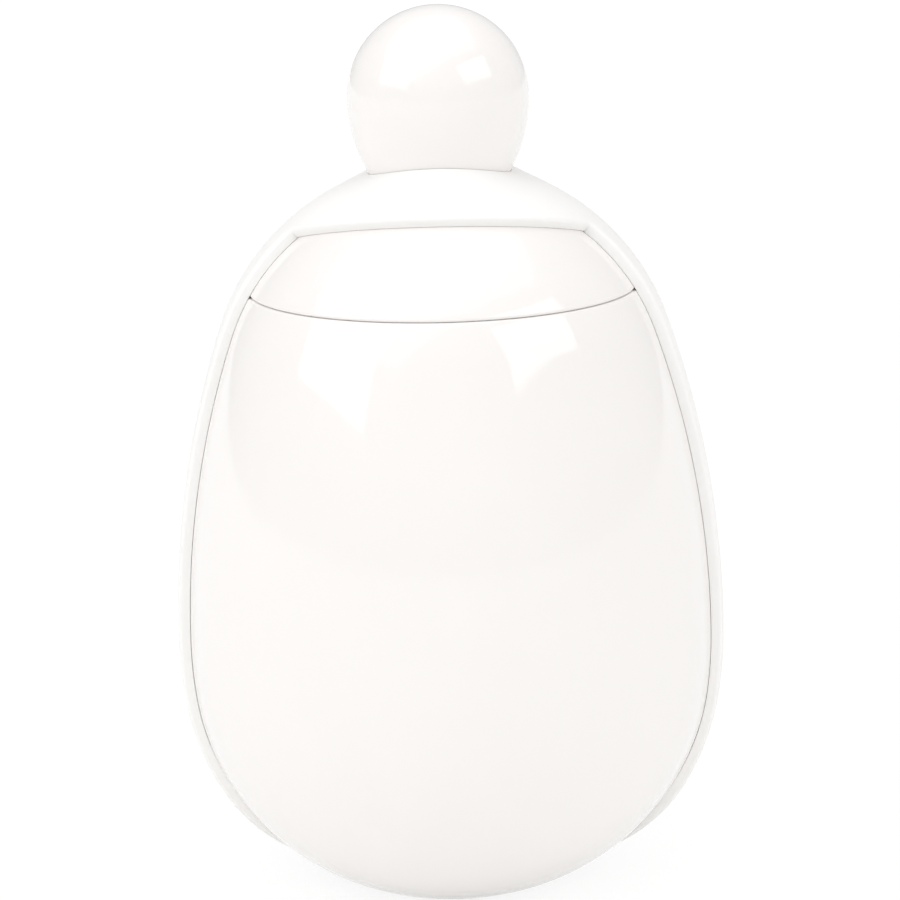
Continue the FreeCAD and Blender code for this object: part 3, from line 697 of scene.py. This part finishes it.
class StrapForm:
    """Works out where the strap's outer and inner skins lie."""

    COLLAR_RINGS = 14
    ARM_COLUMNS = 12
    ARM_STEP = 1.0 * MM
    CORNER_STEPS = 3
    HALF_BOW_STEPS = 30
    # The collar's edges go from upright at the hole to square on the porcelain within this distance.
    TURN_REACH = 3.0 * MM
    # Rounds of approximation for the hole's radius and for a row's half width.
    HOLE_ROUNDS = 6
    ROW_ROUNDS = 4

    def __init__(self, sizes, strap):
        self.egg = EggLine(sizes)
        self.strap = strap
        self.outside = strap.gap + strap.thickness
        self.half = strap.width / 2
        self.plan_corner()

    def plan_corner(self):
        """Seen from above: the collar's bow, and the rounding in the corner where it meets an arm."""
        strap = self.strap
        rise = strap.collar_reach - self.half
        self.bow_radius = (strap.collar_corner**2 + rise**2) / (2 * rise)
        self.bow_centre = Vector((0.0, strap.collar_reach - self.bow_radius))
        up = self.half + strap.corner_round
        far = math.sqrt((self.bow_radius + strap.corner_round) ** 2 - (up - self.bow_centre.y) ** 2)
        self.corner_centre = Vector((far, up))
        to_bow = self.bow_centre - self.corner_centre
        self.corner_first = math.atan2(to_bow.y, to_bow.x)
        self.middle_angle = (self.corner_first - math.pi / 2) / 2
        self.junction = polar(self.corner_centre, strap.corner_round, self.middle_angle)

    def half_width(self, x):
        """Half the arm's width at a distance from the axis, with the corner's rounding."""
        left = self.corner_centre.x - x
        if left <= 0:
            return self.half
        radius = self.strap.corner_round
        return self.corner_centre.y - math.sqrt(max(radius**2 - left**2, 0.0))

    def bow_points(self):
        """Edge of the collar seen from above, from one arm's junction to the other's, on the side of +Y."""
        corner, radius = self.corner_centre, self.strap.corner_round
        points = []
        for n in range(self.CORNER_STEPS):
            angle = self.middle_angle + (self.corner_first - self.middle_angle) * n / self.CORNER_STEPS
            points.append(polar(corner, radius, angle))
        first = self.corner_first + math.pi
        for n in range(self.HALF_BOW_STEPS + 1):
            angle = first + (math.pi / 2 - first) * n / self.HALF_BOW_STEPS
            points.append(polar(self.bow_centre, self.bow_radius, angle))
        return points + [Vector((-p.x, p.y)) for p in reversed(points[:-1])]

    def lift(self, front_share, beyond_hole):
        """How far the collar stands off the dome: most at its hole, and more towards the front and back.
        front_share is 0 at the sides and 1 at the front and back."""
        strap = self.strap
        most = strap.side_lift + (strap.front_lift - strap.side_lift) * front_share**2
        return most * max(0.0, 1 - beyond_hole / strap.lift_reach) ** 2

    def hole_at(self, front_share):
        """Radius of the collar's hole, which widens with the knob where the collar rides up it."""
        sizes, strap = self.egg.sizes, self.strap
        taper, radius = sizes.knob_taper_radius, strap.hole_radius
        ball = sizes.knob_top - sizes.knob_radius
        over = self.egg.crown_radius + self.outside
        for _ in range(self.HOLE_ROUNDS):
            skin = self.egg.crown.y + math.sqrt(over**2 - radius**2)
            below = max(0.0, ball - skin - self.lift(front_share, 0.0))
            porcelain = sizes.knob_radius - taper + math.sqrt(taper**2 - below**2)
            radius = max(strap.hole_radius, porcelain + strap.gap)
        return radius

    def skins(self, x, y):
        """Outer and inner points of the collar above a place in plan."""
        reach, strap = math.hypot(x, y), self.strap
        front_share = abs(y) / reach
        raised = self.lift(front_share, reach - self.hole_at(front_share))
        over, under = self.egg.crown_radius + self.outside, self.egg.crown_radius + strap.gap
        square = min(1.0, max(0.0, (reach - strap.hole_radius) / self.TURN_REACH))
        square *= square * (3 - 2 * square)
        close = 1 - square * (1 - under / over)
        level = self.egg.crown.y + raised
        outer = Vector((x, y, level + math.sqrt(over**2 - reach**2)))
        inner = Vector((x * close, y * close, level + math.sqrt(under**2 - (reach * close) ** 2)))
        return outer, inner

    def arm_line(self):
        """Meridian of one arm, from the junction to the foot's middle: (point, inward normal) pairs."""
        strap = self.strap
        top = self.egg.crown_at_radius(self.outside, self.junction.length)
        centre, turned_to = self.egg.lower_bend(strap)
        bend = arc(centre, strap.bend_radius, -math.pi / 2, turned_to)
        band = line((0.0, strap.lift), end_point(bend, "start"))
        pieces = backwards([band, bend, *self.egg.arcs(self.outside, turned_to, top)])
        result = []
        for piece in pieces:
            curved, way = "centre" in piece, piece["end"] - piece["start"]
            size = abs(way) * piece["radius"] if curved else way.length
            steps = max(2 if curved else 1, math.ceil(size / self.ARM_STEP))
            for n in range(1 if result else 0, steps + 1):
                if curved:
                    point = polar(piece["centre"], piece["radius"], piece["start"] + way * n / steps)
                    result.append((point, (piece["centre"] - point).normalized()))
                else:
                    result.append((piece["start"].lerp(piece["end"], n / steps), Vector((0.0, 1.0))))
        return result

    def arm_rows(self):
        """Rows of (outer, inner) points across the right arm, from the junction to the middle of the foot.
        A row follows the round porcelain up the side, and goes flat as it nears the axis under the foot."""

        def x_at(point, y, round_share):
            return math.sqrt(max(point.x**2 - round_share * y**2, 0.0))

        rows = []
        for point, inward in self.arm_line():
            inner = point + inward * self.strap.thickness
            round_share = min(1.0, point.x / self.strap.width) ** 2
            half = self.half
            for _ in range(self.ROW_ROUNDS):
                half = self.half_width(x_at(point, half, round_share))
            row = []
            for n in range(self.ARM_COLUMNS + 1):
                y = half * (2 * n / self.ARM_COLUMNS - 1)
                row.append(tuple(Vector((x_at(p, y, round_share), y, p.y)) for p in (point, inner)))
            rows.append(row)
        return rows


def strap_mesh(form):
    """The strap as one closed skin, before its edges are rounded."""
    mesh = bmesh.new()
    pairs = {}
    # Places less than a ten-thousandth of a millimetre apart are the same.
    places_per_metre = 1e7

    def pair(outer, inner):
        """Vertices for a place on the outer and the inner skin, shared where places coincide."""
        key = tuple(round(c * places_per_metre) for c in (*outer, *inner))
        if key not in pairs:
            pairs[key] = (mesh.verts.new(outer), mesh.verts.new(inner))
        return pairs[key]

    def skin(rows, closed):
        """Faces between neighbouring rows of pairs; closed joins each row's end to its start."""
        for row, after in zip(rows, rows[1:]):
            count = len(row)
            for n in range(count if closed else count - 1):
                corners = (row[n], row[(n + 1) % count], after[(n + 1) % count], after[n])
                mesh.faces.new([c[0] for c in corners])
                mesh.faces.new([c[1] for c in reversed(corners)])

    # Arms: the left one mirrors the right one, and they meet in the middle of the foot.
    right = form.arm_rows()
    arm = [[pair(*p) for p in row] for row in right]
    flip = Matrix.Diagonal((-1.0, 1.0, 1.0))
    left = [[pair(*(flip @ q for q in p)) for p in row] for row in right]
    skin(arm, False)
    skin([row[::-1] for row in left], False)

    # Collar: rings from the hole out to its edge; the edge takes in both arms' first rows.
    bow = form.bow_points()[1:-1]
    back = [form.skins(p.x, p.y) for p in bow]
    front = [form.skins(-p.x, -p.y) for p in bow]
    edge = right[0] + back + [tuple(flip @ q for q in p) for p in reversed(right[0])] + front
    rings = []
    for ring in range(form.COLLAR_RINGS + 1):
        share = ring / form.COLLAR_RINGS
        row = []
        for outer, inner in edge:
            far = Vector((outer.x, outer.y))
            near = far.normalized() * form.hole_at(abs(far.normalized().y))
            place = near * (1 - share) + far * share
            at_edge = ring == form.COLLAR_RINGS
            row.append(pair(outer, inner) if at_edge else pair(*form.skins(place.x, place.y)))
        rings.append(row)
    skin(rings, True)

    # Walls between the skins, all round the outside and round the hole.
    # An edge's bevel weight sets how far it is rounded later: the outer edges in full, the others less.
    strap = form.strap
    weight = mesh.edges.layers.float.new("bevel_weight_edge")
    partner = dict(pairs.values())
    for loose in [e for e in mesh.edges if e.is_boundary and all(v in partner for v in e.verts)]:
        a, b = loose.verts
        mesh.faces.new((a, b, partner[b], partner[a]))
        near_axis = a.co.xy.length < strap.hole_radius + strap.thickness
        at_hole = near_axis and a.co.z > form.egg.crown.y
        loose[weight] = strap.hole_edge_share if at_hole else 1.0
        mesh.edges.get((partner[a], partner[b]))[weight] = strap.inner_edge_share
    bmesh.ops.recalc_face_normals(mesh, faces=mesh.faces)
    data = bpy.data.meshes.new("silicone_strap_blank")
    mesh.to_mesh(data)
    mesh.free()
    return data


def round_and_smooth(made, width):
    """Round the weighted edges of a blank and shade it smooth."""
    made.data.polygons.foreach_set("use_smooth", [True] * len(made.data.polygons))
    bevel = made.modifiers.new("moulded_edges", "BEVEL")
    bevel.width = width
    bevel.segments = BEVEL_SEGMENTS
    bevel.limit_method = "WEIGHT"
    weighted = made.modifiers.new("even_faces", "WEIGHTED_NORMAL")
    weighted.keep_sharp = True


# ------------ operators


def finish_of(key, make):
    """The material of that name, made once."""
    return bpy.data.materials.get(key) or make(bpy.context.scene.coddler_finish)


def settle(piece, body, node):
    """Let a rigid piece stand for a CAD node and move with its body."""
    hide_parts(node)
    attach(piece, body)


class CODDLER_OT_cup(bpy.types.Operator):
    """Turn the porcelain cup and cut the strap's channel in its foot"""

    bl_idname = "coddler.cup"
    bl_label = "Cup"

    def execute(self, context):
        sizes = context.scene.coddler_porcelain
        glaze = finish_of("clear_glazed_porcelain", glazed_porcelain)
        strap = context.scene.coddler_strap
        channel = (channel_profile(sizes, strap), strap.lift + strap.bend_radius)
        piece = turned_piece("porcelain_cup", cup_profile(sizes), sizes, glaze, channel)
        settle(piece, "cup", "cup")
        return {"FINISHED"}


class CODDLER_OT_lid(bpy.types.Operator):
    """Turn the porcelain lid with its flange and ball knob"""

    bl_idname = "coddler.lid"
    bl_label = "Lid with knob"

    def execute(self, context):
        sizes = context.scene.coddler_porcelain
        glaze = finish_of("clear_glazed_porcelain", glazed_porcelain)
        piece = turned_piece("porcelain_lid", lid_profile(sizes), sizes, glaze)
        settle(piece, "lid", "lid")
        return {"FINISHED"}


class CODDLER_OT_strap(bpy.types.Operator):
    """Mould the silicone strap over the lid, down both sides and under the foot"""

    bl_idname = "coddler.strap"
    bl_label = "Silicone strap"

    def execute(self, context):
        strap = context.scene.coddler_strap
        form = StrapForm(context.scene.coddler_porcelain, strap)
        made = add_object("silicone_strap_blank", strap_mesh(form))
        round_and_smooth(made, strap.edge_round)
        piece = plain_piece("moulded_strap", made, finish_of("moulded_silicone", moulded_silicone))
        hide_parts("silicone_strap")
        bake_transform(piece)
        return {"FINISHED"}


def softbox(name, centre, size, level):
    """A rectangular lamp that faces the object; at level 1 its face is as bright as white."""
    data = bpy.data.lights.new(name, "AREA")
    data.shape = "RECTANGLE"
    data.size, data.size_y = size
    data.energy = level * math.pi * size[0] * size[1]
    light = add_object(name, data)
    light.location = centre
    light.rotation_euler = (-Vector(centre)).to_track_quat("-Z", "Y").to_euler()
    light.visible_camera = False


def stage_floor(stage):
    """White paper sweep, almost plain white to the camera, with a trace of the shadows that fall on it."""
    material, tree = new_material("paper_sweep")
    rays = add_node(tree, "ShaderNodeLightPath").outputs
    feeds = {0: rays["Is Camera Ray"], 1: rays["Is Transmission Ray"]}
    seen = add_node(tree, "ShaderNodeMath", feeds, operation="MAXIMUM")
    feeds = {0: seen.outputs[0], 1: rays["Is Glossy Ray"]}
    seen = add_node(tree, "ShaderNodeMath", feeds, operation="MAXIMUM")
    # Near the axis the paper keeps a trace of the shadow, and beyond half a metre it is plain white.
    place = add_node(tree, "ShaderNodeTexCoord").outputs["Object"]
    away = add_node(tree, "ShaderNodeVectorMath", {0: place}, operation="LENGTH")
    feeds = {
        "Value": away.outputs["Value"],
        "From Min": 80 * MM,
        "From Max": 500 * MM,
        "To Min": stage.floor_glow,
        "To Max": 1.0,
    }
    glow = add_node(tree, "ShaderNodeMapRange", feeds)
    feeds = {0: seen.outputs[0], 1: glow.outputs[0]}
    share = add_node(tree, "ShaderNodeMath", feeds, operation="MULTIPLY")
    paper = add_node(tree, "ShaderNodeBsdfDiffuse", {"Color": linear(stage.floor)})
    white = add_node(tree, "ShaderNodeEmission", {"Strength": stage.floor_white})
    feeds = {0: share.outputs[0], 1: paper.outputs[0], 2: white.outputs[0]}
    both = add_node(tree, "ShaderNodeMixShader", feeds)
    add_node(tree, "ShaderNodeOutputMaterial", {"Surface": both.outputs[0]})
    mesh = bpy.data.meshes.new("floor")
    far = stage.floor_reach
    corners = [(-far, -far, 0), (far, -far, 0), (far, far, 0), (-far, far, 0)]
    mesh.from_pydata(corners, [], [(0, 1, 2, 3)])
    mesh.materials.append(material)
    floor = add_object("floor", mesh)


def stage_world(stage):
    """Pale surroundings, a little brighter at the right, and plain white to the camera."""
    world = bpy.data.worlds.new("white_room")
    world.use_nodes = True
    tree = world.node_tree
    tree.nodes.clear()
    rays = add_node(tree, "ShaderNodeLightPath").outputs
    way = add_node(tree, "ShaderNodeTexCoord").outputs["Generated"]
    across = add_node(tree, "ShaderNodeSeparateXYZ", {"Vector": way})
    feeds = {
        "Value": across.outputs["X"],
        "From Min": -1.0,
        "To Min": stage.world_left,
        "To Max": stage.world_right,
    }
    light = add_node(tree, "ShaderNodeMapRange", feeds)
    feeds = {"Value": rays["Is Camera Ray"], "To Min": light.outputs[0], "To Max": 1.0}
    level = add_node(tree, "ShaderNodeMapRange", feeds)
    feeds = {"Color": linear("#FFFFFF"), "Strength": level.outputs[0]}
    room = add_node(tree, "ShaderNodeBackground", feeds)
    add_node(tree, "ShaderNodeOutputWorld", {"Surface": room.outputs[0]})
    bpy.context.scene.world = world


def stage_camera(stage):
    """Camera at the photograph's viewing angle."""
    data = bpy.data.cameras.new("camera")
    data.lens = stage.lens
    data.sensor_width = 36.0
    data.sensor_fit = "HORIZONTAL"
    data.clip_start, data.clip_end = 0.01, 50.0
    camera = add_object("camera", data)
    swing, pitch, roll = stage.swing, stage.pitch, stage.roll
    ahead = Vector((-math.sin(swing), math.cos(swing), 0.0))
    look = ahead * math.cos(pitch) - Vector((0.0, 0.0, math.sin(pitch)))
    level = Vector((math.cos(swing), math.sin(swing), 0.0))
    upright = level.cross(look)
    right = level * math.cos(roll) - upright * math.sin(roll)
    top = level * math.sin(roll) + upright * math.cos(roll)
    turned = Matrix((right, top, -look)).transposed().to_4x4()
    place = level * stage.aside - ahead * stage.distance
    place.z = stage.height
    camera.matrix_world = Matrix.Translation(place) @ turned
    bpy.context.scene.camera = camera


class CODDLER_OT_stage(bpy.types.Operator):
    """Set the floor, the soft light and the camera"""

    bl_idname = "coddler.stage"
    bl_label = "Stage"

    def execute(self, context):
        stage = context.scene.coddler_stage
        stage_floor(stage)
        stage_world(stage)
        stage_camera(stage)
        for name, centre, size, setting in SOFTBOXES:
            softbox(name, centre, size, getattr(stage, setting))
        context.scene.view_settings.view_transform = "Standard"
        return {"FINISHED"}


class CODDLER_PT_panel(bpy.types.Panel):
    """Lists the steps that build the coddler"""

    bl_label = "Egg coddler"
    bl_space_type = "VIEW_3D"
    bl_region_type = "UI"
    bl_category = "Coddler"

    def draw(self, context):
        for step in STEPS:
            self.layout.operator(step.bl_idname)
        for name in SETTINGS:
            group = getattr(context.scene, name)
            box = self.layout.box()
            for prop in group.bl_rna.properties.keys():
                if prop not in ("rna_type", "name"):
                    box.prop(group, prop)


STEPS = (CODDLER_OT_cup, CODDLER_OT_lid, CODDLER_OT_strap, CODDLER_OT_stage)
SETTINGS = {
    "coddler_porcelain": CoddlerPorcelain,
    "coddler_strap": CoddlerStrap,
    "coddler_finish": CoddlerFinish,
    "coddler_stage": CoddlerStage,
}


def register():
    for thing in (*SETTINGS.values(), *STEPS, CODDLER_PT_panel):
        bpy.utils.register_class(thing)
    for name, group in SETTINGS.items():
        setattr(bpy.types.Scene, name, bpy.props.PointerProperty(type=group))


def unregister():
    for name in SETTINGS:
        delattr(bpy.types.Scene, name)
    for thing in (CODDLER_PT_panel, *reversed(STEPS), *reversed(list(SETTINGS.values()))):
        bpy.utils.unregister_class(thing)


def main():
    register()
    bpy.ops.coddler.cup()
    bpy.ops.coddler.lid()
    bpy.ops.coddler.strap()
    bpy.ops.coddler.stage()


if __name__ == "__main__":
    main()
